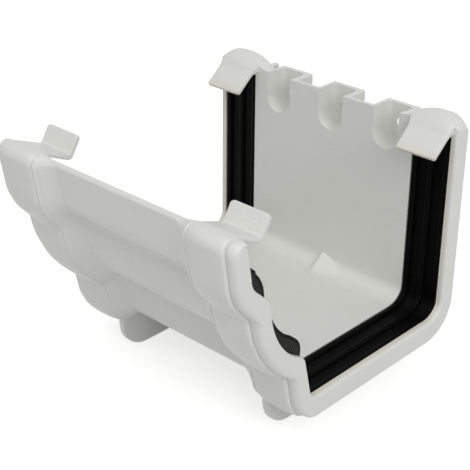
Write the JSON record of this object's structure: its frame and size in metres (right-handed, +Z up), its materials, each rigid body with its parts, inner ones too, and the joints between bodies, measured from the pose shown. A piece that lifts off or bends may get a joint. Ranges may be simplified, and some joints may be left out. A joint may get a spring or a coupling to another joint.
{
  "type": "gutter union bracket",
  "caption": "Moulded ogee gutter union: open trough with a sealed, crowned ring at each end, snap clips at the lips and screw pockets on the back.",
  "frame": {"origin": "centre of the part's bounding box in plan, at the bottom edges of its two webs", "axes": "X along the gutter, -Y towards the ogee front, +Y towards the fascia board, +Z up"},
  "size_m": [0.119, 0.1316, 0.1049],
  "materials": {
    "white_plastic": "smooth, slightly soft gloss",
    "black_rubber": "satin"
  },
  "bodies": {
    "root": {"body": "white_plastic", "seal_left": "black_rubber", "seal_right": "black_rubber"}
  },
  "joints": []
}
